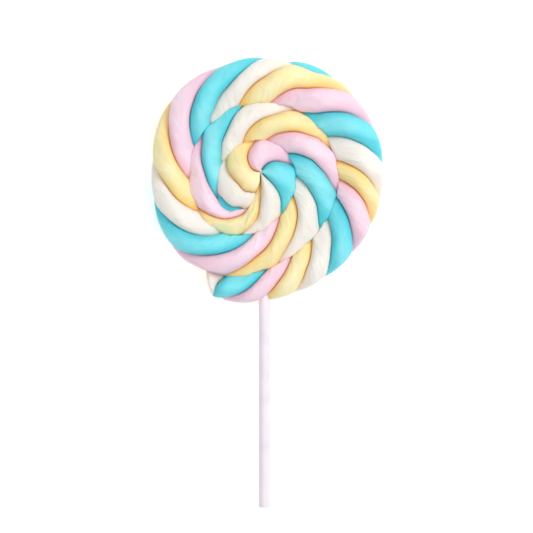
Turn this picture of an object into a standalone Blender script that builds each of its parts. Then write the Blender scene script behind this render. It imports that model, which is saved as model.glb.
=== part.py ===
"""Marshmallow lollipop: four soft strands twisted into one rope, and the rope coiled flat round a stick.

It lies on its back: +Z points up out of the shown face, the stick points to -Y, and the origin is the
middle of the base of its bounding box. Sizes are in metres and angles in degrees.

The rope is described by bearings, counted anticlockwise round the eye of the coil from +X. They start
at the rope's outer tail, below the eye, and run on past 360 through almost three turns to its inner end.
"""

import math

import bmesh
import bpy
from mathutils import Vector

# The stick.
STICK_DIAMETER = 0.0053
STICK_ASIDE = 0.0018  # from the eye of the coil to the stick's axis, along +X
STICK_END_BELOW_EYE = 0.1516
STICK_DEPTH = 0.031  # how far the stick reaches into the head, through the tail and the next coil
STICK_SIDES = 32
STICK_EDGE = 0.0003
STICK_CLEARANCE = 0.0003

# The rope.
ROPE_THICKNESS = 0.0202  # base to crown, where the rope has its usual width
ROPE_WIDTH = 0.018
PINCHED_HEIGHT_SHARE = 0.74  # what is left of the thickness where the rope is pinched to no width at all
TALLEST_SHARE = 1.04
BASE_FLATTENING = 0.05  # share of the half thickness that resting on its back has pressed flat
EYE_RADIUS = 0.0006
GAP = 0.0003  # between neighbouring strands and coils
TIP_LENGTH = 0.0045  # over which each strand's ends are rounded off
TIP_BLUNTNESS = 0.4  # size of a strand's very end, as a share of its full size
TIP_STATIONS = 5

# Where the coil lies. Each row is a bearing, the distance from the eye to the rope's outer edge in
# millimetres, and the quarter twists that the rope has made since its tail.
COIL_STATIONS = (
    (-115.5, 59.8, 0.80),
    (-104, 60.3, 1.40),
    (-90, 59.0, 2.45),
    (-45, 56.2, 5.10),
    (0, 55.8, 7.80),
    (45, 55.0, 10.30),
    (90, 53.0, 12.00),
    (135, 52.8, 13.85),
    (180, 50.0, 15.50),
    (225, 52.6, 17.25),
    (248, 50.0, 18.15),
    (270, 44.8, 18.90),
    (290, 40.0, 19.60),
    (315, 37.4, 20.40),
    (360, 35.1, 21.90),
    (405, 33.3, 22.95),
    (450, 31.5, 23.95),
    (495, 31.4, 25.05),
    (540, 32.2, 26.00),
    (585, 33.6, 26.95),
    (608, 31.0, 27.50),
    (630, 26.2, 28.05),
    (675, 19.0, 28.90),
    (720, 16.0, 29.50),
    (765, 15.0, 30.05),
    (810, 14.8, 30.50),
    (855, 16.0, 30.95),
    (900, 18.5, 31.55),
    (940, 22.6, 32.10),
    (976, 18.6, 32.50),
)
FULL_TURN = 360
INNER_END_TAPER = 13  # bearings over which the coil outside closes in behind the rope's inner end
INNER_END_ROOM = 1.5  # bearings between the rope's inner end and that closing in
CLOSING_STATIONS = 4
TAIL_CAP = 3.2  # bearings at the tail over which the first strand covers the others' ends
TAIL_SLANT = 4.5  # how far the tail's end leans back at its outer edge and forward at its inner one
TAIL_SLANT_FADES = 22  # bearings over which that lean fades out

# The rope's section: four lobes, each a disc on a square wedge that reaches to the rope's middle. Lengths
# are shares of the rope's half width or half thickness.
LOBE_CENTRE = 0.55
LOBE_RADIUS = 0.45
WEDGE_TIP = 0.07
LOBE_STEPS = 8
STATIONS_PER_QUARTER_TWIST = 4.5
PRESS = 0.3  # how far a lobe would reach past the edge of its coil, if its neighbour didn't press it back
PRESS_STARTS = 0.86  # share of the half width from which that pressing bends a lobe

# The strands in their order round the rope, each with its colour and the bearing of its tail.
STRANDS = (
    ("strand_white", (0.90, 0.87, 0.83), -115.5),
    ("strand_blue", (0.18, 0.78, 0.86), -111.5),
    ("strand_pink", (0.93, 0.66, 0.76), -109),
    ("strand_yellow", (0.96, 0.82, 0.42), -111.5),
)
STRAND_ROUGHNESS = 0.62
STICK_COLOUR = (0.88, 0.85, 0.88)
STICK_ROUGHNESS = 0.3


def clear_scene():
    """Removes every object, such as those of the startup scene."""
    for obj in list(bpy.data.objects):
        bpy.data.objects.remove(obj)


def finish(name, colour, roughness):
    """Returns a plain material."""
    made = bpy.data.materials.new(name)
    made.use_nodes = True
    shader = made.node_tree.nodes["Principled BSDF"]
    shader.inputs["Base Color"].default_value = (*colour, 1)
    shader.inputs["Roughness"].default_value = roughness
    shader.inputs["Metallic"].default_value = 0
    return made


def slopes(column):
    """Returns the slope at each station that keeps the curve through COIL_STATIONS smooth and unwavering."""
    steps = [
        (after[column] - before[column]) / (after[0] - before[0])
        for before, after in zip(COIL_STATIONS, COIL_STATIONS[1:])
    ]
    inner = [2 * a * b / (a + b) if a * b > 0 else 0 for a, b in zip(steps, steps[1:])]
    return [steps[0], *inner, steps[-1]]


STATION_SLOPES = {1: slopes(1), 2: slopes(2)}


def at_bearing(bearing, column):
    """Returns a column of COIL_STATIONS at any bearing, by cubic interpolation."""
    place = sum(bearing >= station[0] for station in COIL_STATIONS) - 1
    place = min(max(place, 0), len(COIL_STATIONS) - 2)
    before, after = COIL_STATIONS[place], COIL_STATIONS[place + 1]
    span = after[0] - before[0]
    t = (bearing - before[0]) / span
    start_slope, end_slope = STATION_SLOPES[column][place : place + 2]
    return (
        (1 + 2 * t) * (1 - t) ** 2 * before[column]
        + t * (1 - t) ** 2 * span * start_slope
        + t * t * (3 - 2 * t) * after[column]
        - t * t * (1 - t) * span * end_slope
    )


TAIL_BEARING = COIL_STATIONS[0][0]
INNER_END_BEARING = COIL_STATIONS[-1][0]
CLOSING_BEARING = INNER_END_BEARING - FULL_TURN + INNER_END_ROOM
TAIL_TIP = math.degrees(TIP_LENGTH / at_bearing(TAIL_BEARING, 1) * 1000)
INNER_TIP = math.degrees(TIP_LENGTH / at_bearing(INNER_END_BEARING, 1) * 1000)


def outer_edge(bearing):
    """Returns the distance from the eye to the rope's outer edge."""
    return at_bearing(bearing, 1) / 1000


def inner_edge(bearing):
    """Returns the distance from the eye to the rope's inner edge, which is the next coil's outer edge."""
    past_end = bearing - CLOSING_BEARING
    if past_end <= 0:
        return outer_edge(min(bearing + FULL_TURN, INNER_END_BEARING))
    share = min(past_end / INNER_END_TAPER, 1)
    return EYE_RADIUS + (outer_edge(INNER_END_BEARING) - EYE_RADIUS) * (1 - share) ** 2


def rope_edges(bearing):
    """Returns the distances from the eye between which the rope lies, with half a gap left on each side."""
    return inner_edge(bearing) + GAP / 2, outer_edge(bearing) - GAP / 2


def quarter_twists(bearing):
    """Returns how many quarter twists the rope has made since its tail."""
    return at_bearing(bearing, 2)


def bearing_of_twist(twists):
    """Returns the bearing at which the rope has made that many quarter twists."""
    low, high = TAIL_BEARING, INNER_END_BEARING
    for _ in range(40):
        middle = (low + high) / 2
        if quarter_twists(middle) < twists:
            low = middle
        else:
            high = middle
    return (low + high) / 2


def shared_bearings():
    """Returns the bearings of the sections: closer together at both ends, and between them at equal steps
    of twist. The strands share them, so that the facing walls of two strands stay parallel."""
    tail_step = TAIL_CAP / TIP_STATIONS
    tails = [TAIL_BEARING + tail_step * (step - 0.001) for step in range(1, 3 * TIP_STATIONS)]
    tails.insert(0, TAIL_BEARING)
    ends = [INNER_END_BEARING - INNER_TIP * step / TIP_STATIONS for step in range(TIP_STATIONS, -1, -1)]
    first, last = quarter_twists(tails[-1] + tail_step), quarter_twists(ends[0])
    count = round((last - first) * STATIONS_PER_QUARTER_TWIST)
    middle = [bearing_of_twist(first + (last - first) * step / count) for step in range(count)]
    closing_step = INNER_END_TAPER / CLOSING_STATIONS
    closing = [CLOSING_BEARING + closing_step * step for step in range(CLOSING_STATIONS + 1)]
    middle = [bearing for bearing in middle if min(abs(bearing - other) for other in closing) > closing_step / 2]
    return tails + sorted(middle + closing) + ends


SHARED_BEARINGS = shared_bearings()


def pressed(across, is_pressed):
    """Returns where across a coil a point lies once the neighbouring coil has pressed it back."""
    if not is_pressed:
        return across
    across *= 1 + PRESS * across**2
    if across <= PRESS_STARTS:
        return across
    room = 1 - PRESS_STARTS
    return PRESS_STARTS + room * math.tanh((across - PRESS_STARTS) / room)


def lobe_outline(half_size):
    """Returns one lobe's outline, with +X out of the rope's middle, drawn in to leave its share of the gap."""
    draw_in = GAP / 2 / half_size
    shift = draw_in * math.sqrt(2)
    widest = math.pi / 4 + math.asin(LOBE_CENTRE * math.sqrt(0.5) / LOBE_RADIUS)
    outline = [(WEDGE_TIP + shift, 0)]
    for step in range(LOBE_STEPS + 1):
        turn = widest * (2 * step / LOBE_STEPS - 1)
        out = LOBE_CENTRE + LOBE_RADIUS * math.cos(turn)
        aside = LOBE_RADIUS * math.sin(turn)
        narrowed = 1 - draw_in / LOBE_RADIUS / math.sin(widest)
        outline.append((out, aside * narrowed))
    return outline


def whole_outline():
    """Returns the whole rope's outline, with as many corners as a lobe's."""
    corners = LOBE_STEPS + 2
    turns = [math.pi * (2 * step / corners - 1) for step in range(corners)]
    return [(0.97 * math.cos(turn), 0.97 * math.sin(turn)) for turn in turns]


def strand_section(bearing, order, size):
    """Returns the corners of a strand's section at a bearing, in the radial plane through the eye.

    order counts the strand's place in the rope, in quarter turns, and size is under 1 where the strand's end
    is rounded off. In the tail's cap the section is the whole rope's.
    """
    low, high = rope_edges(bearing)
    half_width = (high - low) / 2
    share = PINCHED_HEIGHT_SHARE + (1 - PINCHED_HEIGHT_SHARE) * 2 * half_width / ROPE_WIDTH
    half_height = ROPE_THICKNESS / (2 - BASE_FLATTENING) * min(share, TALLEST_SHARE)
    middle_height = half_height * (1 - BASE_FLATTENING)
    lean = math.radians(90 * (order + 1.5 - quarter_twists(bearing)))
    slant = TAIL_SLANT * max(1 - (bearing - TAIL_BEARING) / TAIL_SLANT_FADES, 0)
    has_neighbour_outside = bearing - FULL_TURN > TAIL_BEARING
    has_neighbour_inside = bearing + FULL_TURN < INNER_END_BEARING + INNER_END_TAPER
    if bearing < TAIL_BEARING + TAIL_CAP:
        centre, outline = 0, whole_outline()
    else:
        centre, outline = LOBE_CENTRE, lobe_outline(min(half_width, half_height))
    corners = []
    for out, aside in outline:
        out = centre + (out - centre) * size
        aside *= size
        inward = out * math.cos(lean) - aside * math.sin(lean)
        upward = out * math.sin(lean) + aside * math.cos(lean)
        if inward > 0:
            across = -pressed(inward, has_neighbour_inside)
        else:
            across = pressed(-inward, has_neighbour_outside)
        low, high = rope_edges(bearing + slant * across)
        radius = (low + high) / 2 + (high - low) / 2 * across
        height = max(middle_height + half_height * upward, 0)
        angle = math.radians(bearing + slant * across)
        corners.append(Vector((radius * math.cos(angle), radius * math.sin(angle), height)))
    return corners


def fullness(bearing, tail_bearing):
    """Returns a strand's size at a bearing as a share of its full size, less than 1 at its rounded ends."""
    share = min((bearing - tail_bearing) / TAIL_TIP, (INNER_END_BEARING - bearing) / INNER_TIP, 1)
    return math.sqrt(1 - (1 - share) ** 2 * (1 - TIP_BLUNTNESS**2))


def bridge(bm, before, after):
    """Joins two sections with triangles. A quad is cut along its shorter diagonal, except in the walls that
    face another strand: both strands cut those from the rope's middle in the first section to its outside
    in the second, so that the two walls stay parallel."""
    last = len(before) - 1
    for step in range(last + 1):
        following = (step + 1) % (last + 1)
        rising = (before[step].co - after[following].co).length
        falling = (after[step].co - before[following].co).length
        if step == 0 or (step < last and rising < falling):
            bm.faces.new((before[step], after[following], before[following]))
            bm.faces.new((before[step], after[step], after[following]))
        else:
            bm.faces.new((before[step], after[step], before[following]))
            bm.faces.new((after[step], after[following], before[following]))


def strand(name, order, tail_bearing, material, parent):
    """Adds one strand: a closed tube through its sections, from the tail to the inner end."""
    bm = bmesh.new()
    rings = [
        [bm.verts.new(corner) for corner in strand_section(bearing, order, fullness(bearing, tail_bearing))]
        for bearing in SHARED_BEARINGS
        if bearing >= tail_bearing
    ]
    for before, after in zip(rings, rings[1:]):
        bridge(bm, before, after)
    bm.faces.new(rings[0])
    bm.faces.new(rings[-1][::-1])
    bmesh.ops.triangulate(bm, faces=[face for face in bm.faces if len(face.verts) > 3])
    bmesh.ops.recalc_face_normals(bm, faces=bm.faces)
    mesh = bpy.data.meshes.new(name)
    bm.to_mesh(mesh)
    bm.free()
    mesh.materials.append(material)
    mesh.shade_smooth()
    obj = bpy.data.objects.new(name, mesh)
    bpy.context.scene.collection.objects.link(obj)
    obj.parent = parent
    return obj


def rod(name, diameter, length, parent):
    """Adds a round rod along Y whose lower end is the stick's end."""
    bpy.ops.mesh.primitive_cylinder_add(vertices=STICK_SIDES, radius=diameter / 2, depth=length)
    obj = bpy.context.object
    obj.name = name
    obj.data.name = name
    axis_height = ROPE_THICKNESS / (2 - BASE_FLATTENING) * (1 - BASE_FLATTENING)
    obj.location = (STICK_ASIDE, length / 2 - STICK_END_BELOW_EYE, axis_height)
    obj.rotation_euler = (math.radians(90), 0, 0)
    obj.parent = parent
    return obj


def stick_length():
    """Returns the stick's whole length, with the stretch inside the head."""
    return STICK_END_BELOW_EYE - outer_edge(-90) + STICK_DEPTH


def stick(parent):
    """Adds the stick, with both ends' edges eased."""
    obj = rod("stick", STICK_DIAMETER, stick_length(), parent)
    obj.data.materials.append(finish("stick", STICK_COLOUR, STICK_ROUGHNESS))
    bevel = obj.modifiers.new("eased_ends", "BEVEL")
    bevel.width = STICK_EDGE
    bevel.segments = 2
    bevel.limit_method = "ANGLE"
    obj.data.shade_smooth()
    obj.data.set_sharp_from_angle(angle=math.radians(40))
    return obj


def stick_bore(parent):
    """Adds the helper that cuts the stick's hole into the strands."""
    bore = rod(
        "stick_bore",
        STICK_DIAMETER + 2 * STICK_CLEARANCE,
        stick_length() + STICK_CLEARANCE,
        parent,
    )
    bore.hide_render = True
    bore.display_type = "WIRE"
    return bore


def stand_on_base_centre(empty, parts):
    """Moves the empty so that the middle of the base of the parts' bounding box is the world's origin."""
    bpy.context.view_layer.update()
    graph = bpy.context.evaluated_depsgraph_get()
    corners = []
    for obj in parts:
        evaluated = obj.evaluated_get(graph)
        corners += [evaluated.matrix_world @ vertex.co for vertex in evaluated.data.vertices]
    lowest = [min(corner[axis] for corner in corners) for axis in range(3)]
    highest = [max(corner[axis] for corner in corners) for axis in range(3)]
    empty.location = (
        -(lowest[0] + highest[0]) / 2,
        -(lowest[1] + highest[1]) / 2,
        -lowest[2],
    )


def main():
    clear_scene()
    eye = bpy.data.objects.new("eye_of_the_coil", None)
    bpy.context.scene.collection.objects.link(eye)
    bore = stick_bore(eye)
    parts = [stick(eye)]
    for order, (name, colour, tail_bearing) in enumerate(STRANDS):
        obj = strand(name, order, tail_bearing, finish(name, colour, STRAND_ROUGHNESS), eye)
        cut = obj.modifiers.new("stick_hole", "BOOLEAN")
        cut.operation = "DIFFERENCE"
        cut.object = bore
        parts.append(obj)
    stand_on_base_centre(eye, parts)


main()
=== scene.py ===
"""Marshmallow lollipop: a rope of four soft coloured strands coiled into a round head on a white stick.

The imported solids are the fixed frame. Each strand is grown by Geometry Nodes over a guide that follows the
coil, the stick and the small pieces are swept in mesh code, and everything rides on the one body, root.
"""

import logging
import math
from dataclasses import dataclass
from enum import Enum
from typing import Any, Callable, Optional, Sequence, Union

import bmesh
import bpy
import numpy as np
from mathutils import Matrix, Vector


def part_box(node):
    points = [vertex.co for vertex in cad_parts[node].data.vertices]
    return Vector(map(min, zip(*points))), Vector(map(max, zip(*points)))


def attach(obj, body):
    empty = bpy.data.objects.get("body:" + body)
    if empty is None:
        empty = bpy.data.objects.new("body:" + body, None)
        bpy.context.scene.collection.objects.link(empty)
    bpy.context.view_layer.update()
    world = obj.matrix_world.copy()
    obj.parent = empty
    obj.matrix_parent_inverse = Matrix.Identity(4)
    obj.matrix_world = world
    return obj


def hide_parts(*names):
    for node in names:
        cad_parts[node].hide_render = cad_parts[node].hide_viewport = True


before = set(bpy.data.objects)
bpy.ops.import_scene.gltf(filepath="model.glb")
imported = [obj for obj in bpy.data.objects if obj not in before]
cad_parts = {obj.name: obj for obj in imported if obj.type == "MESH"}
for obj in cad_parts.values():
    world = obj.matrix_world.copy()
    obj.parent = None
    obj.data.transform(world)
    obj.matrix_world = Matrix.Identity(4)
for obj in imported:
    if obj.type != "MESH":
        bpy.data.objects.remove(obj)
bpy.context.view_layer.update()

LOG = logging.getLogger("lollipop")
MM = 0.001
Pair = tuple[float, float]
Point = tuple[float, float, float]
FULL_TURN = 360.0
IMAGE_SIDE = 533
SMALLEST_RING = 1e-6 * MM


# ---- Node trees written as expressions ----

Number = Union[int, float]
Operand = Union["Signal", int, float]


def maths(operation: str, reflected: bool = False) -> Callable[..., "Signal"]:
    """Makes a method of Signal that adds one Math node.

    Args:
        operation: the Math node's operation.
        reflected: whether the signal is the last operand, and not the first.

    Returns:
        The method. It takes the other operands and returns the Math node's result.
    """

    def method(self: "Signal", *others: Operand) -> "Signal":
        """Adds the Math node."""
        operands = [*others, self] if reflected else [self, *others]
        return self.graph.node("ShaderNodeMath", {"operation": operation}, dict(enumerate(operands)))

    return method


class Signal:
    """A socket of a node tree that arithmetic can be written on."""

    def __init__(self, graph: "Graph", socket: bpy.types.NodeSocket) -> None:
        """Wraps a socket.

        Args:
            graph: the graph that new Math nodes go into.
            socket: the output socket that carries the value.
        """
        self.graph = graph
        self.socket = socket

    __add__ = __radd__ = maths("ADD")
    __sub__, __rsub__ = maths("SUBTRACT"), maths("SUBTRACT", reflected=True)
    __mul__ = __rmul__ = maths("MULTIPLY")
    __truediv__, __rtruediv__ = maths("DIVIDE"), maths("DIVIDE", reflected=True)
    __pow__, __abs__, sign = maths("POWER"), maths("ABSOLUTE"), maths("SIGN")
    sin, cos, tanh, arctan2 = maths("SINE"), maths("COSINE"), maths("TANH"), maths("ARCTAN2")
    at_least, at_most, over = maths("MAXIMUM"), maths("MINIMUM"), maths("GREATER_THAN")

    def __neg__(self) -> "Signal":
        """Negation."""
        return self * -1.0

    def ramp(self, low: Number, high: Number) -> "Signal":
        """Smooth step from 0 at low to 1 at high."""
        return self.graph.node(
            "ShaderNodeMapRange",
            {"interpolation_type": "SMOOTHSTEP", "clamp": True},
            {0: self, 1: low, 2: high, 3: 0.0, 4: 1.0},
        )

    def mixed(self, low: Operand, high: Operand) -> "Signal":
        """Value between low and high, with this signal as the share of high."""
        return self * (high - low) + low


class Graph:
    """A node tree that is built one node at a time."""

    def __init__(self, tree: bpy.types.NodeTree) -> None:
        """Wraps a tree and empties it.

        Args:
            tree: the node tree.
        """
        self.tree = tree
        self.inputs: dict[str, Signal] = {}
        tree.nodes.clear()

    def __getitem__(self, name: str) -> Signal:
        """A named input of a Geometry Nodes tree."""
        return self.inputs[name]

    def node(
        self,
        kind: str,
        settings: Optional[dict[str, Any]] = None,
        sockets: Optional[dict[Union[int, str], Any]] = None,
        output: Union[int, str] = 0,
    ) -> Signal:
        """Adds a node of any type.

        Args:
            kind: the node's type.
            settings: the node's own properties.
            sockets: a value or a signal for each input that isn't left alone.
            output: the output that is returned.

        Returns:
            The chosen output.
        """
        made = self.tree.nodes.new(kind)
        for name, value in (settings or {}).items():
            setattr(made, name, value)
        for name, value in (sockets or {}).items():
            if isinstance(value, Signal):
                self.tree.links.new(value.socket, made.inputs[name])
            else:
                made.inputs[name].default_value = value
        return Signal(self, made.outputs[output]) if len(made.outputs) else Signal(self, None)

    def vector(self, x: Any, y: Any, z: Any) -> Signal:
        """Vector of three values."""
        return self.node("ShaderNodeCombineXYZ", sockets={0: x, 1: y, 2: z})

    def parts(self, vector: Signal) -> list[Signal]:
        """The three values of a vector."""
        split = self.node("ShaderNodeSeparateXYZ", sockets={0: vector}).socket.node
        return [Signal(self, part) for part in split.outputs]

    def noise(
        self, place: Signal, scale: Number, detail: Number, roughness: Number, spread: Number = 0.0
    ) -> Signal:
        """Adds a Noise Texture.

        Args:
            place: where the noise is read.
            scale: cycles for each unit of place.
            detail: octaves.
            roughness: strength of the finer octaves.
            spread: distortion.

        Returns:
            The noise, from 0 to 1 and mostly near 0.5.
        """
        return self.node(
            "ShaderNodeTexNoise",
            {"noise_dimensions": "3D"},
            {"Vector": place, "Scale": scale, "Detail": detail, "Roughness": roughness, "Distortion": spread},
        )

    def colour_mix(self, share: Any, low: Any, high: Any) -> Signal:
        """Adds a colour Mix node.

        Args:
            share: how much of the second colour there is.
            low: the first colour.
            high: the second colour.

        Returns:
            The mixed colour.
        """
        return self.node(
            "ShaderNodeMix",
            {"data_type": "RGBA", "blend_type": "MIX", "clamp_factor": True},
            {0: share, 6: low, 7: high},
            output=2,
        )

    def attribute(self, name: str) -> Signal:
        """A named number of the mesh, in a material or in Geometry Nodes."""
        if self.tree.bl_idname == "GeometryNodeTree":
            return self.node("GeometryNodeInputNamedAttribute", {"data_type": "FLOAT"}, {"Name": name})
        return self.node("ShaderNodeAttribute", {"attribute_name": name}, output="Fac")

    def store(self, geometry: Signal, name: str, value: Signal) -> Signal:
        """Stores a number on every point."""
        return self.node(
            "GeometryNodeStoreNamedAttribute",
            {"data_type": "FLOAT", "domain": "POINT"},
            {"Geometry": geometry, "Name": name, "Value": value},
        )

    def moved(self, geometry: Signal, **sockets: Signal) -> Signal:
        """Geometry with its points at a Position, or moved by an Offset."""
        return self.node("GeometryNodeSetPosition", sockets={"Geometry": geometry, **sockets})

    def surface(self, sockets: dict[str, Any], settings: Optional[dict[str, Any]] = None) -> None:
        """Ends a material with a Principled shader that has these sockets and settings."""
        shader = self.node("ShaderNodeBsdfPrincipled", settings, sockets)
        self.node("ShaderNodeOutputMaterial", sockets={"Surface": shader})


def new_material(name: str) -> tuple[bpy.types.Material, Graph]:
    """Makes a material and the graph of its node tree."""
    made = bpy.data.materials.new(name)
    made.use_nodes = True
    return made, Graph(made.node_tree)


def add_object(name: str, data: Any) -> bpy.types.Object:
    """Adds an object to the scene."""
    obj = bpy.data.objects.new(name, data)
    bpy.context.scene.collection.objects.link(obj)
    return obj


# ---- The course of the coil ----


@dataclass(frozen=True)
class CoilCourse:
    """Where the rope lies. Bearings are in degrees, anticlockwise round the eye, and lengths in metres.

    Each row of stations is a bearing, the distance from the eye to the rope's outer edge in millimetres, and
    the quarter twists that the rope has made since its tail. Each row of wall_shifts is a bearing, and how
    many quarter turns further out a strand's inner wall stands there than with the four strands evenly spread.
    """

    stations: tuple[tuple[float, float, float], ...] = (
        (-118, 59.5, 0.67), (-111, 60.6, 1.03), (-104, 60.0, 1.4), (-97, 59.5, 1.9), (-90, 58.2, 2.45),
        (-45, 55.8, 5.1), (0, 56.1, 7.8), (45, 55.0, 10.3), (54, 53.5, 10.68), (64, 51.3, 11.08),
        (74, 51.9, 11.44), (90, 52.4, 12.0), (108, 51.7, 12.73), (135, 52.5, 13.85), (180, 49.5, 15.5),
        (225, 52.6, 17.25), (248, 49.4, 18.15), (270, 44.8, 18.9), (290, 40.0, 19.6), (315, 37.4, 20.4),
        (360, 35.1, 21.9), (405, 33.3, 22.95), (450, 31.5, 23.95), (495, 31.4, 25.05), (540, 32.2, 26.0),
        (585, 33.6, 26.95), (608, 31.0, 27.5), (630, 26.2, 28.05), (675, 19.0, 28.9), (720, 16.0, 29.5),
        (765, 15.0, 30.05), (810, 14.8, 30.5), (855, 16.0, 30.95), (900, 18.5, 31.55), (940, 22.6, 32.05),
        (950, 21.9, 32.1), (960, 19.5, 32.12), (966, 18.6, 32.13), (971, 17.5, 32.14), (976, 15.9, 32.15),
        (981, 14.2, 32.16),
    )
    wall_shifts: tuple[tuple[Pair, ...], ...] = (
        (  # inner wall of the white strand
            (-115.5, 0), (-95, 0.2), (-80, 0.48), (-74, 0.42), (-64, 0.03), (-50, -0.05), (-12, 0),
            (-3, -0.12), (4, -0.28), (9, -0.4), (20, -0.5), (40, 0), (60, 0.3), (74, 0.3), (89, 0),
            (130, 0), (158, 0.24), (172, 0.2), (190, 0), (595, 0), (608, 0.22), (616, 0.33),
            (621, 0.4), (626.3, 0.44), (628, 0.3), (630, 0.1), (632.2, -0.14), (633.4, -0.42),
            (646, -0.44), (660, -0.62), (730, 0), (925, 0), (950, 0.12), (965, 0.24), (981, 0.41),
        ),
        (  # inner wall of the blue strand
            (-115.5, 0.8), (-113.6, 0.72), (-111.6, 0.1), (-109.1, -0.36), (-105, -0.62), (-95, -0.3),
            (-75, 0.3), (-66, 0.35), (-58, 0.32), (-47, 0), (6, 0), (15, -0.1), (24, -0.22),
            (33, -0.45), (48, -0.48), (76, -0.08), (95, -0.17), (110, -0.19), (117, -0.12), (122, -0.05),
            (127, 0.03), (134, 0.18), (142, 0.15), (154, 0), (295, 0), (308, 0.22), (318, 0.15),
            (328, 0.1), (345, 0), (610, 0), (630, 0.4), (645, 0.34), (658, 0.28), (667, 0.22),
            (672.5, 0.06), (677, -0.3), (681, -0.8), (705, -0.7), (790, 0), (885, 0), (922, -0.34),
            (937, -0.35), (947, -0.31), (956, -0.27), (965, -0.14), (972, 0.05),
        ),
        (  # inner wall of the pink strand
            (-75, 0), (-50, 0.34), (-42, 0.32), (-30, 0.04), (-15, 0), (34, 0), (45, -0.14),
            (50, -0.08), (57, 0.08), (63, 0.21), (69, 0.14), (78, 0), (95, -0.15), (109, -0.25),
            (117, -0.21), (123, -0.13), (130, -0.05), (140, 0), (325, 0), (345, 0.17), (360, 0.17),
            (372, 0.13), (400, 0), (685, 0), (705, 0.5), (725, 0.5), (735, 0.39), (750, 0.2),
            (768, -0.07), (779, -0.3), (784, -0.74), (812, -0.55), (870, 0),
        ),
        (  # inner wall of the yellow strand
            (-112, 0.1), (-100, 0.42), (-92, 0.45), (-80, 0.05), (-68, 0), (-55, 0), (-35, 0.22),
            (-26, 0.24), (-11, 0), (-6, -0.18), (1, -0.42), (20, -0.35), (45, 0), (58, 0.06),
            (66, 0.11), (72, 0.08), (80, 0), (370, 0), (388, 0.09), (405, 0.09), (425, 0),
            (545, 0), (554, 0.2), (562, 0.27), (570, 0.27), (577, 0.1), (587, 0.03), (600, 0),
            (770, 0), (792, 0.5), (806, 0.48), (817, 0.3), (827, 0.26), (839, 0.17), (850, 0.06),
            (864, -0.06), (879, -0.1), (897, -0.13), (925, 0), (976, 0),
        ),
    )
    eye_radius: float = -0.8 * MM
    closing_start: float = 608.0
    closing_end: float = 624.0
    interlock: float = 0.5 * MM
    interlock_starts: float = 10.0
    even_crown: float = 0.125
    crown_limit: float = 1.2
    rope_thickness: float = 20.2 * MM
    rope_width: float = 18.0 * MM
    pinched_share: float = 0.74
    tallest_share: float = 1.04
    base_flattening: float = 0.05

    @property
    def tail(self) -> float:
        """Bearing of the rope's outer end."""
        return self.stations[0][0]

    @property
    def inner_end(self) -> float:
        """Bearing of the rope's inner end."""
        return self.stations[-1][0]

    @property
    def half_height(self) -> float:
        """Half of the rope's usual thickness, before its base is pressed flat."""
        return self.rope_thickness / (2 - self.base_flattening)

    @staticmethod
    def smooth(bearing: np.ndarray, at: np.ndarray, value: np.ndarray) -> np.ndarray:
        """Reads a list of values at any bearings, by smooth interpolation that never overshoots.

        Args:
            bearing: the bearings.
            at: bearings of the list.
            value: values of the list.

        Returns:
            The values there.
        """
        span = np.diff(at)
        step = np.diff(value) / span
        slope = np.zeros_like(value)
        same_way = step[:-1] * step[1:] > 0
        inner = np.zeros(len(step) - 1)
        inner[same_way] = 2 * (step[:-1] * step[1:])[same_way] / (step[:-1] + step[1:])[same_way]
        slope[1:-1], slope[0], slope[-1] = inner, step[0], step[-1]
        row = np.clip(np.searchsorted(at, bearing, side="right") - 1, 0, len(span) - 1)
        t = (bearing - at[row]) / span[row]
        return (
            (1 + 2 * t) * (1 - t) ** 2 * value[row]
            + t * (1 - t) ** 2 * span[row] * slope[row]
            + t * t * (3 - 2 * t) * value[row + 1]
            - t * t * (1 - t) * span[row] * slope[row + 1]
        )

    def column(self, bearing: np.ndarray, place: int) -> np.ndarray:
        """Column of the stations at any bearings: 1 for the outer edge, 2 for the quarter twists."""
        rows = np.array(self.stations, float)
        return self.smooth(bearing, rows[:, 0], rows[:, place])

    def outer_edge(self, bearing: np.ndarray) -> np.ndarray:
        """Distance from the eye to the rope's outer edge, wavy where the crowns of two coils interlock."""
        inside_rope = np.clip((bearing - FULL_TURN - self.tail) / self.interlock_starts, 0, 1)
        wave = self.bulge(bearing, math.pi) - self.bulge(bearing - FULL_TURN, 0.0)
        return self.column(bearing, 1) * MM + self.interlock * wave * inside_rope

    def bulge(self, bearing: np.ndarray, side: float) -> np.ndarray:
        """Measures how near the crown of a strand is to one side of the rope.

        Args:
            bearing: the bearings.
            side: the side's angle round the rope.

        Returns:
            Shares, 0 where two strands meet and 1 at a crown.
        """
        bearing = np.clip(bearing, self.tail, self.inner_end)
        gaps = np.stack([np.sin((self.wall(bearing, order) - side) / 2) for order in range(4)])
        return np.minimum((np.prod(gaps, axis=0) / self.even_crown) ** 2, self.crown_limit)

    def wall(self, bearing: np.ndarray, order: int) -> np.ndarray:
        """Works out how far round the rope the wall on a strand's inner side stands.

        Args:
            bearing: the bearings.
            order: the strand's place round the rope. 4 is the white strand again, one round further on.

        Returns:
            Angles in radians, 0 towards the eye and a quarter turn straight up.
        """
        at, shift = np.array(self.wall_shifts[order % 4], float).T
        shift = self.smooth(np.clip(bearing, at[0], at[-1]), at, shift)
        return np.radians(90 * (order + 1 - self.twists(bearing) + shift))

    def inner_edge(self, bearing: np.ndarray) -> np.ndarray:
        """Distance from the eye to the rope's inner edge, which is the next coil's outer edge.

        Args:
            bearing: the bearings.

        Returns:
            The distances. Past the rope's inner end the coil closes in on the eye.
        """
        outside = self.outer_edge(np.minimum(bearing + FULL_TURN, self.inner_end))
        closed = np.clip((bearing - self.closing_start) / (self.closing_end - self.closing_start), 0, 1)
        closed = closed * closed * (3 - 2 * closed)
        return outside + (self.eye_radius - outside) * closed

    def twists(self, bearing: np.ndarray) -> np.ndarray:
        """Quarter twists that the rope has made since its tail."""
        return self.column(bearing, 2)

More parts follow.
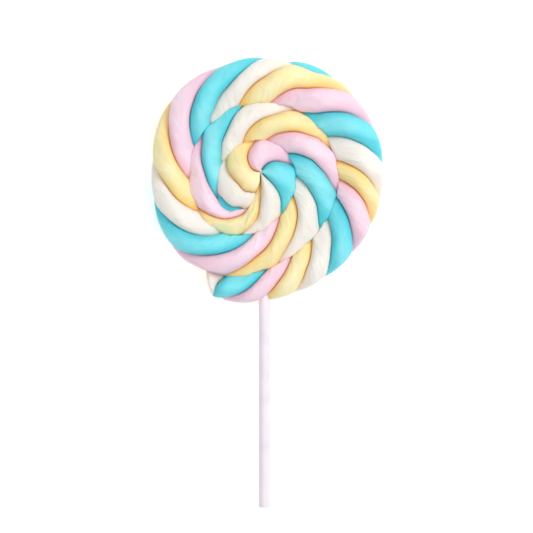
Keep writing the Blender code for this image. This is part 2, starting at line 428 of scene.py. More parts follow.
    def thickness_share(self, bearing: np.ndarray) -> np.ndarray:
        """Rope's thickness as a share of its usual one, less where the rope is pinched."""
        width = self.outer_edge(bearing) - self.inner_edge(bearing)
        share = self.pinched_share + (1 - self.pinched_share) * width / self.rope_width
        return np.minimum(share, self.tallest_share)


@dataclass(frozen=True)
class Layout:
    """Where the eye and the stick lie in the frame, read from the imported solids."""

    stick_aside: float = 1.8 * MM
    stick_end_below_eye: float = 151.6 * MM

    @property
    def eye(self) -> Vector:
        """Eye of the coil, at the height of the base."""
        low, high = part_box("stick")
        return Vector(((low.x + high.x) / 2 - self.stick_aside, low.y + self.stick_end_below_eye, 0.0))


# ---- Finishes ----

Colour = tuple[float, float, float]


def linear(red: int, green: int, blue: int) -> Colour:
    """Turns a screen colour into a linear one.

    Args:
        red: red, from 0 to 255.
        green: green, from 0 to 255.
        blue: blue, from 0 to 255.

    Returns:
        The linear colour.
    """
    shares = (channel / 255 for channel in (red, green, blue))
    return tuple(c / 12.92 if c <= 0.04045 else ((c + 0.055) / 1.055) ** 2.4 for c in shares)


@dataclass(frozen=True)
class MarshmallowFinish:
    """Soft marshmallow under a faint starch dusting, that lets a little light through.

    Colours are linear: body is the strand's own colour. The paler colour goes on random clouds and grains of
    settled starch and, as a painted highlight, on the crown of each strand. The shade colour is painted shade
    where two strands meet, in crevices where a strand is tucked under and at joints between coils, and more
    weakly on the flanks away from the crown. Shares say how strongly they colour each place, and scales are
    cycles to a metre.
    """

    name: str
    body: Colour
    powder_and_sheen: Colour
    crease_shade: Colour
    glow: Colour
    # The next three shares set painted shade where strands meet, painted shade on the flanks and a painted
    # highlight on the crowns.
    crease_shade_share: float = 0.72
    flank_shade_share: float = 0.22
    crown_highlight: float = 0.42
    cloud_powder: float = 0.42
    grain_powder: float = 0.14
    crease_shade_wander: float = 0.25
    cloud_scale: float = 48.0
    skin_scale: float = 480.0
    grain_scale: float = 2600.0
    skin_depth: float = 0.25 * MM
    glow_depth: float = 2.6 * MM
    seed: float = 0.0

    def material(self) -> bpy.types.Material:
        """Builds the material.

        Returns:
            The material.
        """
        made, graph = new_material(self.name)
        place = graph.node("ShaderNodeTexCoord", output="Object")
        drift = graph.node(
            "ShaderNodeVectorMath", {"operation": "ADD"}, {0: place, 1: (self.seed, 2 * self.seed, 0.0)}
        )
        clouds = graph.noise(drift, self.cloud_scale, 3.0, 0.55)
        grain = graph.noise(drift, self.grain_scale, 3.0, 0.6)
        skin = graph.noise(drift, self.skin_scale, 4.0, 0.55)
        crown, crease_shade = graph.attribute("crown"), graph.attribute("crease_shade")
        # Paler colour: random starch clouds and grains, plus a painted highlight on each strand's crown.
        powder_and_sheen_share = clouds.ramp(0.38, 0.66) * self.cloud_powder + grain.ramp(0.55, 0.75) * self.grain_powder
        powder_and_sheen_share = (powder_and_sheen_share + crown * self.crown_highlight).at_most(1.0)
        # Painted shade: the shade colour goes where strands meet, in crevices and at joints, and more weakly
        # on the flanks away from the crown.
        shade_share = (crease_shade + (skin - 0.5) * self.crease_shade_wander * crease_shade).at_most(1.0).at_least(0.0)
        shade_share = (shade_share * self.crease_shade_share).at_least((1.0 - crown) * self.flank_shade_share)
        colour = graph.colour_mix(powder_and_sheen_share, (*self.body, 1), (*self.powder_and_sheen, 1))
        colour = graph.colour_mix(shade_share, colour, (*self.crease_shade, 1))
        height = grain * 0.35 + skin * 0.65
        bump = graph.node(
            "ShaderNodeBump", sockets={"Strength": 0.16, "Distance": self.skin_depth, "Height": height}
        )
        graph.surface(
            {
                "Base Color": colour,
                "Roughness": clouds.mixed(0.5, 0.66),
                "Subsurface Weight": 0.32,
                "Subsurface Radius": self.glow,
                "Subsurface Scale": self.glow_depth,
                "Specular IOR Level": 0.34,
                "Normal": bump,
            },
            {"subsurface_method": "RANDOM_WALK"},
        )
        return made


@dataclass(frozen=True)
class StickFinish:
    """Smooth white extruded plastic with faint drawing lines."""

    name: str = "stick"
    body: Colour = linear(242, 235, 242)
    shade: Colour = linear(236, 228, 236)
    line_scale: float = 1500.0
    line_stretch: float = 0.02
    cloud_scale: float = 90.0
    line_depth: float = 0.05 * MM

    def material(self) -> bpy.types.Material:
        """Builds the material.

        Returns:
            The material.
        """
        made, graph = new_material(self.name)
        place = graph.node("ShaderNodeTexCoord", output="Object")
        stretch = (1.0, self.line_stretch, 1.0)
        drawn = graph.node("ShaderNodeMapping", sockets={"Vector": place, "Scale": stretch})
        lines = graph.noise(drawn, self.line_scale, 2.0, 0.5)
        clouds = graph.noise(place, self.cloud_scale, 2.0, 0.5)
        bump = graph.node(
            "ShaderNodeBump", sockets={"Strength": 0.08, "Distance": self.line_depth, "Height": lines}
        )
        graph.surface(
            {
                "Base Color": graph.colour_mix(clouds.ramp(0.35, 0.7), (*self.body, 1), (*self.shade, 1)),
                "Roughness": lines.mixed(0.3, 0.42),
                "Specular IOR Level": 0.4,
                "Normal": bump,
            }
        )
        return made


# ---- The strands ----


@dataclass(frozen=True)
class StrandBuild:
    """What sets one strand apart.

    order is its place round the rope, and tail and inner_end are the bearings of its ends. tail_slant and
    end_slant are how many degrees further on those lie at the rope's outer side. dip is the share of its
    height that it loses where it is tucked under, over the bearings dip_starts, and gets back over dip_ends.
    """

    order: int
    tail: float
    inner_end: float
    seed: float
    finish: MarshmallowFinish
    tail_slant: float = 5.0
    end_slant: float = 0.0
    dip: float = 0.0
    dip_starts: Pair = (610.0, 617.0)
    dip_ends: Pair = (629.0, 636.0)


class StrandKind(Enum):
    """The four strands, in their order round the rope."""

    # In each finish below, the darker colour is painted shade for creases, crevices, joints and flanks, and
    # the paler one also paints a highlight on the crowns.
    WHITE = StrandBuild(
        order=0,
        tail=-116.0,
        inner_end=980.0,
        dip=0.34,
        dip_starts=(-140.0, -130.0),
        dip_ends=(-109.0, -99.0),
        seed=3.1,
        finish=MarshmallowFinish(
            name="marshmallow_white",
            body=linear(240, 235, 227),
            powder_and_sheen=linear(252, 249, 244),
            crease_shade=linear(230, 214, 202),
            glow=(1.0, 0.8, 0.6),
            flank_shade_share=0.12,
            crown_highlight=0.28,
            seed=0.3,
        ),
    )
    BLUE = StrandBuild(
        order=1,
        tail=-112.9,
        inner_end=973.0,
        tail_slant=2.0,
        seed=7.7,
        finish=MarshmallowFinish(
            name="marshmallow_blue",
            body=linear(96, 222, 235),
            powder_and_sheen=linear(160, 242, 250),
            crease_shade=linear(20, 168, 186),
            glow=(0.3, 0.9, 1.0),
            flank_shade_share=0.30,
            seed=0.7,
        ),
    )
    PINK = StrandBuild(
        order=2,
        tail=-110.0,
        inner_end=976.0,
        seed=12.9,
        finish=MarshmallowFinish(
            name="marshmallow_pink",
            body=linear(247, 212, 229),
            powder_and_sheen=linear(253, 230, 242),
            crease_shade=linear(232, 152, 164),
            glow=(1.0, 0.45, 0.5),
            seed=1.1,
        ),
    )
    YELLOW = StrandBuild(
        order=3,
        tail=-111.0,
        inner_end=984.0,
        end_slant=-10.0,
        dip=0.42,
        seed=18.3,
        finish=MarshmallowFinish(
            name="marshmallow_yellow",
            body=linear(252, 229, 155),
            powder_and_sheen=linear(255, 247, 207),
            crease_shade=linear(242, 178, 74),
            glow=(1.0, 0.75, 0.3),
            crease_shade_share=0.82,
            seed=1.9,
        ),
    )

    @property
    def node(self) -> str:
        """Name of the strand's solid."""
        return f"strand_{self.name.lower()}"


@dataclass
class RopeStrand:
    """One strand of the rope, grown by Geometry Nodes over a guide along the coil.

    A pair of limits is where something starts and where it is whole. Facings run from 0 at the rope's top to
    1 at its side, dip_inward from -1 at its outer side to 1 at its inner one, and widths are millimetres from
    the strand's walls. Scales are cycles to a millimetre, along the strand and round it, but lump_scale is to
    a metre.
    """

    kind: StrandKind
    course: CoilCourse
    layout: Layout
    along_count: int = 1400
    around_count: int = 66
    valley: float = 0.61
    notch: float = 0.21
    shoulder: float = 4.9 * MM
    fullness: float = 0.5
    unrolled_radius: float = 9.6 * MM
    wedge_tip: float = 0.05
    wall_share: float = 0.12
    overlap: float = 0.70 * MM
    press: float = 0.5
    press_start: float = 0.85
    free_press: float = 0.45
    tip_length: float = 2.3 * MM
    inner_tip_length: float = 1.3 * MM
    tip_bluntness: float = 0.06
    tail_slant_fades: float = 22.0
    unevenness: float = 0.28 * MM
    dents: float = 0.52 * MM
    wrinkles: float = 0.52 * MM
    trial_count: int = 60000
    turning_worth: float = 3.0 * MM
    crowded_end: float = 8.0 * MM
    tip_power: float = 2.2
    end_slant_fades: float = 12.0
    pressing_starts: float = 6.0
    least_spread: float = 0.02
    joint_facing: Pair = (0.75, 1.0)
    joint_fill: float = 0.62
    notch_facing: Pair = (0.3, 0.9)
    dip_inward: Pair = (-0.5, 0.3)
    pivot: float = 0.82
    pivot_fall: float = 0.32
    least_pivot: float = 0.2
    # The next six set where painted shade goes, in crevices, at joints between coils and near strand walls,
    # and where the painted crown highlight goes.
    crevice_facing: Pair = (0.0, 0.6)
    crevice_shade_amount: float = 2.2
    joint_shade_facing: Pair = (0.72, 0.86)
    joint_shade_amount: float = 0.65
    crease_shade_width: Pair = (0.05, 1.0)
    crown_width: Pair = (0.5, 5.0)
    relief_width: Pair = (0.3, 3.0)
    skin_radius: float = 9.0
    lump_scale: float = 110.0
    dent_scale: Pair = (0.17, 0.26)
    wrinkle_scale: Pair = (0.36, 0.14)
    wrinkle_lean: float = 0.10
    patch_scale: Pair = (0.05, 0.08)
    patch_edge: Pair = (0.47, 0.62)

    def bearings(self) -> np.ndarray:
        """Places the guide's stations.

        Returns:
            Bearings from the strand's tail to its inner end, evenly spread along the strand and closer
            together at its ends and where its walls turn quickly.
        """
        kind = self.kind.value
        fine = np.linspace(kind.tail, kind.inner_end, self.trial_count)
        middle = (self.course.outer_edge(fine) + self.course.inner_edge(fine)) / 2
        travel = np.hypot(np.radians(np.diff(fine)) * middle[1:], np.diff(middle))
        for order in (kind.order, kind.order + 1):
            travel = travel + self.turning_worth * abs(np.diff(self.course.wall(fine, order)))
        length = np.concatenate([[0], np.cumsum(travel)])
        share = np.linspace(0, 1, self.along_count)
        ends = self.crowded_end / length[-1]
        near_end = np.minimum(np.minimum(share, 1 - share), ends) / ends
        bend = ends / (2 * math.pi) * np.sin(2 * math.pi * near_end)
        eased = share - np.sign(0.5 - share) * bend
        return np.interp(eased * length[-1], length, fine)

    def size(self, bearing: np.ndarray) -> np.ndarray:
        """Strand's size as a share of its full size, less at its rounded ends.

        Args:
            bearing: the bearings.

        Returns:
            The shares.
        """
        kind = self.kind.value
        tail_radius = float(self.course.outer_edge(np.array([kind.tail]))[0])
        end_radius = 10 * MM
        tail_tip = math.degrees(self.tip_length / tail_radius)
        inner_tip = math.degrees(self.inner_tip_length / end_radius)
        share = np.minimum((bearing - kind.tail) / tail_tip, (kind.inner_end - bearing) / inner_tip)
        share = np.clip(share, 0, 1)
        return np.maximum((1 - (1 - share) ** self.tip_power) ** (1 / self.tip_power), self.tip_bluntness)

    def guide(self) -> bpy.types.Object:
        """Makes the guide: a chain of points that carry the rope's course as numbers.

        Returns:
            The guide object.
        """
        course, kind = self.course, self.kind.value
        bearing = self.bearings()
        low, high = course.inner_edge(bearing), course.outer_edge(bearing)
        nudge = 0.25
        near_tail = bearing < course.tail + self.tail_slant_fades
        low_slope, high_slope = (
            (edge(bearing + nudge) - edge(bearing - nudge)) / (2 * nudge)
            for edge in (course.inner_edge, course.outer_edge)
        )
        middle = (low + high) / 2
        radians = np.radians(bearing)
        step = np.hypot(np.diff(middle), np.diff(radians) * middle[1:])
        along = np.concatenate([[0], np.cumsum(step)])
        tail_slant = kind.tail_slant * np.clip(1 - (bearing - course.tail) / self.tail_slant_fades, 0, 1)
        end_slant = kind.end_slant * np.clip(1 - (kind.inner_end - bearing) / self.end_slant_fades, 0, 1)
        wall_in, wall_out = course.wall(bearing, kind.order), course.wall(bearing, kind.order + 1)
        pressed_outside = np.clip((bearing - FULL_TURN - course.tail) / self.pressing_starts + 1, 0, 1)
        numbers = {
            "bearing": radians,
            "low": low - self.overlap / 2,
            "high": high + self.overlap / 2 * pressed_outside,
            "low_slope": np.where(near_tail, low_slope, 0),
            "high_slope": np.where(near_tail, high_slope, 0),
            "half_height": course.half_height * course.thickness_share(bearing),
            "wall_in": wall_in,
            "wall_out": wall_out,
            "lean": (wall_in + wall_out) / 2,
            "spread": np.maximum((wall_out - wall_in) / 2, self.least_spread),
            "size": self.size(bearing),
            "slant": tail_slant + end_slant,
            "dip": kind.dip
            * (np.interp(bearing, kind.dip_starts, (0, 1)) - np.interp(bearing, kind.dip_ends, (0, 1))),
            "pressed_outside": pressed_outside,
            "along": along,
        }
        mesh = bpy.data.meshes.new("guide")
        points = np.stack([along, np.zeros_like(along), np.zeros_like(along)], axis=1)
        mesh.from_pydata(points.tolist(), [(n, n + 1) for n in range(len(along) - 1)], [])
        for name, values in numbers.items():
            mesh.attributes.new(name, "FLOAT", "POINT").data.foreach_set("value", values.astype(np.float32))
        return add_object(self.kind.node + "_marshmallow", mesh)

    def inputs(self) -> dict[str, float]:
        """Sizes that the tree takes as named inputs."""
        own = "valley notch fullness shoulder unrolled_radius wedge_tip wall_share press press_start"
        own += " free_press unevenness dents wrinkles"
        return {
            **{name.replace("_", " ").title(): getattr(self, name) for name in own.split()},
            "Eye X": self.layout.eye.x,
            "Eye Y": self.layout.eye.y,
            "Base Flattening": self.course.base_flattening,
            "Seed": self.kind.value.seed,
        }

    def tree(self, material: bpy.types.Material) -> tuple[bpy.types.NodeTree, dict[str, str]]:
        """Builds the strand's Geometry Nodes tree.

        Args:
            material: the material that the tree sets.

        Returns:
            The tree, and the identifier of each named input.
        """
        tree = bpy.data.node_groups.new(self.kind.node + "_tree", "GeometryNodeTree")
        tree.interface.new_socket("Guide", in_out="INPUT", socket_type="NodeSocketGeometry")
        tree.interface.new_socket("Strand", in_out="OUTPUT", socket_type="NodeSocketGeometry")
        identifiers = {
            name: tree.interface.new_socket(name, in_out="INPUT", socket_type="NodeSocketFloat").identifier
            for name in self.inputs()
        }
        graph = Graph(tree)
        entry = graph.node("NodeGroupInput").socket.node
        graph.inputs = {name: Signal(graph, entry.outputs[name]) for name in ("Guide", *identifiers)}
        path = graph.node("GeometryNodeMeshToCurve", sockets={0: graph["Guide"]})
        section = self.section(graph)
        swept = graph.node(
            "GeometryNodeCurveToMesh", sockets={"Curve": path, "Profile Curve": section, "Fill Caps": True}
        )
        swept = graph.store(swept, "inside", self.inside(graph))
        placed = graph.moved(swept, Position=self.position(graph))
        facing = self.facing(graph)
        # Painted shade: darker colour in crevices where a strand is tucked under, at joints between coils and
        # near the strand's walls; the crown number places the painted highlight.
        crevice_shade = graph.attribute("dip") * self.crevice_shade_amount * facing.ramp(*self.crevice_facing)
        touching = facing.over(0.0).mixed(graph.attribute("pressed_outside"), 1.0)
        joint_shade = abs(facing).ramp(*self.joint_shade_facing) * touching * self.joint_shade_amount
        crease_shade = (1.0 - self.far_inside(graph, *self.crease_shade_width)).at_least(crevice_shade).at_least(joint_shade)
        placed = graph.store(placed, "crease_shade", crease_shade)
        placed = graph.store(placed, "crown", self.far_inside(graph, *self.crown_width))
        normal = graph.node("GeometryNodeInputNormal")
        offset = graph.node(
            "ShaderNodeVectorMath", {"operation": "SCALE"}, {0: normal, "Scale": self.relief(graph)}
        )
        shaped = self.rest_on_floor(graph, graph.moved(placed, Offset=offset))
        smooth = graph.node("GeometryNodeSetShadeSmooth", sockets={"Geometry": shaped})
        real = graph.node("GeometryNodeRealizeInstances", sockets={"Geometry": smooth})
        dressed = graph.node("GeometryNodeSetMaterial", sockets={"Geometry": real, "Material": material})
        graph.node("NodeGroupOutput", sockets={"Strand": dressed})
        return tree, identifiers

    def section(self, graph: Graph) -> Signal:
        """Makes the section: a ring of points that carry their turn round the strand, from -1 to 1.

        Args:
            graph: the tree.

        Returns:
            The ring.
        """
        circle = {"Resolution": self.around_count, "Radius": 1.0}
        ring = graph.node("GeometryNodeCurvePrimitiveCircle", {"mode": "RADIUS"}, circle)
        x, y, _ = graph.parts(graph.node("GeometryNodeInputPosition"))
        return graph.store(ring, "turn", y.arctan2(x) / math.pi)

    def opened(self, graph: Graph) -> Signal:
        """Angle of a point from the middle of its strand, as seen from the middle of the rope."""
        quarter = (abs(graph.attribute("turn")) / (1.0 - graph["Wall Share"])).at_most(1.0) * (math.pi / 2)
        return graph.attribute("spread") * quarter.sin() * graph.attribute("turn").sign()

    def inside(self, graph: Graph) -> Signal:
        """Measures how far each point lies inside its strand's walls, with the rope's surface unrolled.

        Args:
            graph: the tree.

        Returns:
            The distances.
        """
        along, radius = graph.attribute("along"), graph["Unrolled Radius"]
        place = graph.vector(along, (graph.attribute("lean") + self.opened(graph)) * radius, 0.0)
        nearness = []
        for name in ("wall_in", "wall_out"):
            there = graph.vector(along, graph.attribute(name) * radius, 0.0)
            line = graph.moved(graph["Guide"], Position=there)
            gap = graph.node(
                "GeometryNodeProximity",
                {"target_element": "EDGES"},
                {"Geometry": line, "Sample Position": place},
                output="Distance",
            )
            nearness.append((gap / MM).at_least(0.001) ** -2.0)
        return (nearness[0] + nearness[1]) ** -0.5 * MM

    def position(self, graph: Graph) -> Signal:
        """Works out where each point of the strand lies.

        Args:
            graph: the tree.

        Returns:
            The positions.
        """
        spread = graph.attribute("spread")
        crown_share = 1.0 - graph["Wall Share"]
        down_wall = ((abs(graph.attribute("turn")) - crown_share) / graph["Wall Share"]).at_least(0.0)
        facing = self.facing(graph)
        side = facing.over(0.0).mixed(graph.attribute("pressed_outside"), 1.0)
        valley = (abs(facing).ramp(*self.joint_facing) * side * self.joint_fill).mixed(graph["Valley"], 1.0)
        valley = valley - (1.0 - side) * (-facing).ramp(*self.notch_facing) * graph["Notch"]
        share = (graph.attribute("inside") / graph["Shoulder"]).at_most(1.0)
        rise = (share * 2.0 - share * share).at_least(0.0) ** graph["Fullness"]
        reach = down_wall.mixed(rise.mixed(valley, 1.0), graph["Wedge Tip"])
        opened = self.opened(graph)
        out = reach * opened.cos()
        aside = reach * opened.sin()
        size = graph.attribute("size")
        pivot = (spread * -self.pivot_fall + self.pivot).at_least(self.least_pivot)
        out = pivot + (out - pivot) * size
        aside = aside * size
        lean = graph.attribute("lean")
        inward = out * lean.cos() - aside * lean.sin()
        upward = out * lean.sin() + aside * lean.cos()
        across = self.pressed(graph, -inward)
        swing = graph.attribute("slant") * across
        low = graph.attribute("low") + graph.attribute("low_slope") * swing
        high = graph.attribute("high") + graph.attribute("high_slope") * swing
        distance = (low + high) / 2.0 + (high - low) / 2.0 * across
        sunk = 1.0 - graph.attribute("dip") * (-across).ramp(*self.dip_inward)
        height = graph.attribute("half_height") * (1.0 - graph["Base Flattening"] + upward * sunk)
        bearing = graph.attribute("bearing") + swing * math.radians(1)
        return graph.vector(
            graph["Eye X"] + distance * bearing.cos(), graph["Eye Y"] + distance * bearing.sin(), height
        )

    def pressed(self, graph: Graph, across: Signal) -> Signal:
        """Presses the strand back where it would reach into the next coil.

        Args:
            graph: the tree.
            across: place across the coil, from -1 at its inner edge to 1 at its outer one.

        Returns:
            The pressed place across the coil.
        """
        start = graph["Press Start"]
        room = 1.0 - start
        reach = abs(across)
        swollen = reach * (reach * reach * graph["Press"] + 1.0)
        bent = start + room * ((swollen - start) / room).tanh()
        flattened = swollen + swollen.over(start) * (bent - swollen)
        side = across.over(0.0).mixed(1.0, graph.attribute("pressed_outside").mixed(graph["Free Press"], 1.0))
        return side.mixed(reach, flattened) * across.sign()

    def facing(self, graph: Graph) -> Signal:
        """How squarely a point faces the eye: 1 at the rope's inner side and -1 at its outer one."""
        return (graph.attribute("lean") + self.opened(graph)).cos()

    def far_inside(self, graph: Graph, low: float, high: float) -> Signal:
        """Tells how far inside its walls a point lies, from 0 at low millimetres to 1 at high ones."""
        return (graph.attribute("inside") / MM).ramp(low, high)

    def relief(self, graph: Graph) -> Signal:
        """Works out how far each point stands out: unevenness, dents along the strand and wrinkles across it.

        Args:
            graph: the tree.

        Returns:
            The distances.
        """
        share = graph.attribute("turn") / (1.0 - self.wall_share)
        around = share * graph.attribute("spread") * self.skin_radius
        along = graph.attribute("along") / MM
        seed = graph["Seed"]
        lumps = graph.noise(graph.node("GeometryNodeInputPosition"), self.lump_scale, 1.0, 0.4) - 0.5
        lengthwise = graph.vector(along * self.dent_scale[0] + seed, around * self.dent_scale[1], seed)
        dents = graph.noise(lengthwise, 1.0, 2.5, 0.5, 0.6) - 0.5
        leaning = along * self.wrinkle_scale[0] + around * self.wrinkle_lean
        crosswise = graph.vector(leaning, around * self.wrinkle_scale[1], seed + 3.0)
        wrinkles = graph.noise(crosswise, 1.0, 2.0, 0.5, 0.5) - 0.5
        patches = graph.vector(along * self.patch_scale[0], around * self.patch_scale[1], seed + 7.0)
        wrinkled = graph.noise(patches, 1.0, 1.0, 0.5).ramp(*self.patch_edge)
        at_joint = abs(self.facing(graph)).ramp(*self.joint_facing)
        crown = self.far_inside(graph, *self.relief_width) * (1.0 - at_joint)
        relief = lumps * 2.0 * graph["Unevenness"] + dents * 2.0 * graph["Dents"]
        relief = relief + wrinkles * wrinkled * 2.0 * graph["Wrinkles"]
        calm = (1.0 - graph.attribute("dip") * 2.0).at_least(0.0)
        return relief * crown * calm * graph.attribute("size")

    def rest_on_floor(self, graph: Graph, geometry: Signal) -> Signal:
        """Presses flat whatever would reach under the base."""
        x, y, z = graph.parts(graph.node("GeometryNodeInputPosition"))
        return graph.moved(geometry, Position=graph.vector(x, y, z.at_least(0.0)))

    def build(self) -> bpy.types.Object:
        """Grows the strand, dresses it and sets it in the frame.

        Returns:
            The finished piece.
        """
        material = self.kind.value.finish.material()
        obj = self.guide()
        tree, identifiers = self.tree(material)
        grower = obj.modifiers.new("grow", "NODES")
        grower.node_group = tree
        for name, value in self.inputs().items():
            grower[identifiers[name]] = value
        obj = plain_mesh(obj)
        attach(obj, "root")
        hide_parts(self.kind.node)
        self.kind.node
        return obj


@dataclass
class PeekingStrand:
    """The stretch of the blue strand that swells out from under the rope's upper right edge."""

    layout: Layout
    first_bearing: float = 40.0
    last_bearing: float = 77.0
    middle_distance: float = 50.6 * MM
    middle_height: float = 7.4 * MM
    thickest: float = 3.75 * MM
    taller: float = 1.35
    bluntness: float = 0.55
    crown: float = 0.6
    rings: int = 90
    sides: int = 40

    def build(self) -> bpy.types.Object:
        """Sweeps the strand, dresses it and sets it in the frame.

        Returns:
            The finished piece.
        """
        eye = self.layout.eye
        points = []
        for ring in range(self.rings + 1):
            share = ring / self.rings
            bearing = math.radians(self.first_bearing + share * (self.last_bearing - self.first_bearing))
            radius = self.thickest * math.sin(math.pi * share) ** self.bluntness
            outward = Vector((math.cos(bearing), math.sin(bearing), 0.0))
            middle = eye + outward * self.middle_distance + Vector((0.0, 0.0, self.middle_height))
            upward = Vector((0.0, 0.0, self.taller * radius))
            points.append(ring_points(middle, outward * radius, upward, self.sides))
        mesh = ringed_mesh("strand_blue_edge", points)
        # No painted shade from creases here; a fixed crown share gives the painted highlight and a little
        # painted flank shade.
        for name, value in (("crease_shade", 0.0), ("crown", self.crown)):
            values = np.full(len(mesh.vertices), value, np.float32)
            mesh.attributes.new(name, "FLOAT", "POINT").data.foreach_set("value", values)
        obj = add_object("strand_blue_edge", mesh)
        mesh.materials.append(bpy.data.materials[StrandKind.BLUE.value.finish.name])
        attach(obj, "root")
        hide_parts(StrandKind.BLUE.node)
        StrandKind.BLUE.node
        return obj


def ring_points(middle: Vector, across: Vector, upward: Vector, sides: int) -> list[Point]:
    """Spreads points round an ellipse.

    Args:
        middle: the ellipse's middle.
        across: one half axis.
        upward: the other half axis.
        sides: how many points there are.

    Returns:
        The points, or the middle alone where the ellipse has next to no size.
    """
    if across.length < SMALLEST_RING:
        return [tuple(middle)]
    turns = (2 * math.pi * n / sides for n in range(sides))
    return [tuple(middle + across * math.cos(t) + upward * math.sin(t)) for t in turns]


def ringed_mesh(name: str, points: Sequence[Sequence[Point]]) -> bpy.types.Mesh:
    """Joins rings of points into a closed smooth mesh that faces outwards.

    Args:
        name: the mesh's name.
        points: the rings, where the first and the last are a single point.

    Returns:
        The mesh.
    """
    starts = np.concatenate([[0], np.cumsum([len(ring) for ring in points])])
    faces = []
    for n in range(len(points) - 1):
        for side in range(max(len(points[n]), len(points[n + 1]))):
            corners = ((n, side), (n + 1, side), (n + 1, side + 1), (n, side + 1))
            face = (int(starts[ring]) + step % len(points[ring]) for ring, step in corners)
            faces.append(tuple(dict.fromkeys(face)))
    mesh = bpy.data.meshes.new(name)
    mesh.from_pydata([point for ring in points for point in ring], [], faces)
    if signed_volume(mesh) < 0:
        mesh.flip_normals()
    mesh.shade_smooth()
    return mesh


def signed_volume(mesh: bpy.types.Mesh) -> float:
    """Volume of a closed mesh, negative if its faces point inwards."""
    shape = bmesh.new()
    shape.from_mesh(mesh)
    volume = shape.calc_volume(signed=True)
    shape.free()
    return volume


def plain_mesh(obj: bpy.types.Object) -> bpy.types.Object:
    """Replaces an object's live modifiers with their result, facing outwards.

    Args:
        obj: the object.

    Returns:
        The same object, with a plain mesh and no modifier.
    """
    graph = bpy.context.evaluated_depsgraph_get()
    mesh = bpy.data.meshes.new_from_object(obj.evaluated_get(graph))
    obj.modifiers.clear()
    old = obj.data
    obj.data = mesh
    bpy.data.meshes.remove(old)
    mesh.name = obj.name
    if signed_volume(mesh) < 0:
        mesh.flip_normals()
    return obj


# ---- The stick ----


@dataclass
class Stick:
    """The straight white stick, with small rounded edges at both ends."""

    sides: int = 72
    edge: float = 0.25 * MM
    edge_steps: int = 4
    length_steps: int = 24

    def build(self) -> bpy.types.Object:
        """Turns the stick, dresses it and sets it in the frame.

        Returns:
            The finished piece.
        """
        low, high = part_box("stick")
        radius = (high.x - low.x) / 2
        centre = (low + high) / 2
        profile = [(low.y, 0.0)]
        for step in range(self.edge_steps, -1, -1):
            turn = math.pi / 2 * step / self.edge_steps
            back, lost = self.edge * (1 - math.sin(turn)), self.edge * (1 - math.cos(turn))
            profile.append((low.y + back, radius - lost))
        straight = high.y - low.y - 2 * self.edge
        steps = range(1, self.length_steps)
        body = [(low.y + self.edge + straight * n / self.length_steps, radius) for n in steps]
        top = [(low.y + high.y - y, r) for y, r in reversed(profile)]
        across, upward = Vector((1.0, 0.0, 0.0)), Vector((0.0, 0.0, 1.0))
        rings = [
            ring_points(Vector((centre.x, y, centre.z)), across * r, upward * r, self.sides)
            for y, r in profile + body + top
        ]
        mesh = ringed_mesh("stick", rings)
        obj = add_object("stick_rod", mesh)
        mesh.materials.append(StickFinish().material())
        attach(obj, "root")
        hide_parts("stick")
        return obj


# ---- Studio ----


@dataclass(frozen=True)
class Lamp:
    """A square soft light: its place from the eye of the coil, its side in metres and its power in watts."""

    name: str
    place: Point
    side: float
    power: float


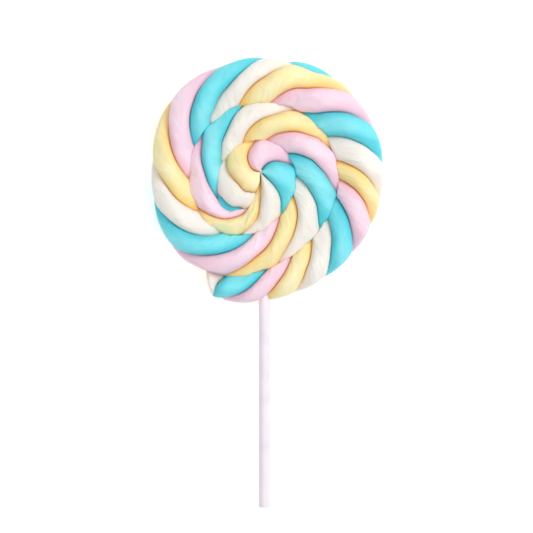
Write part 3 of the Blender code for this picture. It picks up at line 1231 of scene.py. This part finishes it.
@dataclass
class Studio:
    """Pale floor, soft lights, and a camera that looks straight down on the lollipop."""

    layout: Layout
    metres_per_pixel: float = 0.4526 * MM
    eye_pixel: Pair = (260.5, 172.5)
    camera_height: float = 1.6
    sensor: float = 36.0
    head_height: float = 10.0 * MM
    floor_reach: float = 6.0
    floor_drop: float = 0.2 * MM
    floor_grey: float = 0.86
    floor_glow: float = 0.42
    sky_strength: float = 0.41
    lamps: tuple[Lamp, ...] = (
        Lamp("key", (0.75, 0.45, 1.0), 0.8, 8.5),
        Lamp("top", (0.0, -0.2, 1.6), 1.4, 9.6),
    )

    def camera(self) -> None:
        """Sets up the camera."""
        data = bpy.data.cameras.new("overhead")
        data.sensor_width = self.sensor
        seen = IMAGE_SIDE * self.metres_per_pixel
        data.lens = self.sensor * (self.camera_height - self.head_height) / seen
        data.clip_start = 0.05
        data.clip_end = 20.0
        camera = add_object("overhead", data)
        middle = IMAGE_SIDE / 2
        x = self.layout.eye.x + (middle - self.eye_pixel[0]) * self.metres_per_pixel
        y = self.layout.eye.y - (middle - self.eye_pixel[1]) * self.metres_per_pixel
        camera.location = (x, y, self.camera_height)
        camera.rotation_euler = (0.0, 0.0, 0.0)
        bpy.context.scene.camera = camera

    def floor(self) -> None:
        """Lays the floor."""
        reach, height = self.floor_reach, -self.floor_drop
        mesh = bpy.data.meshes.new("floor")
        corners = [(x * reach, y * reach, height) for x, y in ((-1, -1), (1, -1), (1, 1), (-1, 1))]
        mesh.from_pydata(corners, [], [(0, 1, 2, 3)])
        made, graph = new_material("floor_white")
        graph.surface(
            {
                "Base Color": (self.floor_grey, self.floor_grey, self.floor_grey, 1),
                "Roughness": 0.9,
                "Specular IOR Level": 0.1,
                "Emission Color": (1.0, 1.0, 1.0, 1),
                "Emission Strength": self.floor_glow,
            }
        )
        mesh.materials.append(made)
        floor = add_object("floor", mesh)

    def hang(self, lamp: Lamp) -> None:
        """Hangs a light so that it faces the head."""
        data = bpy.data.lights.new(lamp.name, "AREA")
        data.size = lamp.side
        data.energy = lamp.power
        light = add_object(lamp.name, data)
        place = Vector(lamp.place)
        light.location = self.layout.eye + place
        light.rotation_mode = "QUATERNION"
        light.rotation_quaternion = (-place).to_track_quat("-Z", "Y")

    def build(self) -> None:
        """Sets up the whole studio."""
        self.camera()
        self.floor()
        for lamp in self.lamps:
            self.hang(lamp)
        scene = bpy.context.scene
        world = bpy.data.worlds.new("studio")
        scene.world = world
        world.use_nodes = True
        graph = Graph(world.node_tree)
        pale = {"Color": (1.0, 1.0, 1.0, 1), "Strength": self.sky_strength}
        sky = graph.node("ShaderNodeBackground", sockets=pale)
        graph.node("ShaderNodeOutputWorld", sockets={"Surface": sky})
        scene.view_settings.view_transform = "Standard"


def main() -> None:
    """Builds the lollipop and its studio."""
    logging.basicConfig(level=logging.INFO, format="%(name)s: %(message)s")
    course = CoilCourse()
    layout = Layout()
    makers = [*(RopeStrand(kind, course, layout) for kind in StrandKind), PeekingStrand(layout), Stick()]
    for maker in makers:
        piece = maker.build()
        LOG.info("%s: %d faces", piece.name, len(piece.data.polygons))
    Studio(layout).build()


if __name__ == "__main__":
    main()
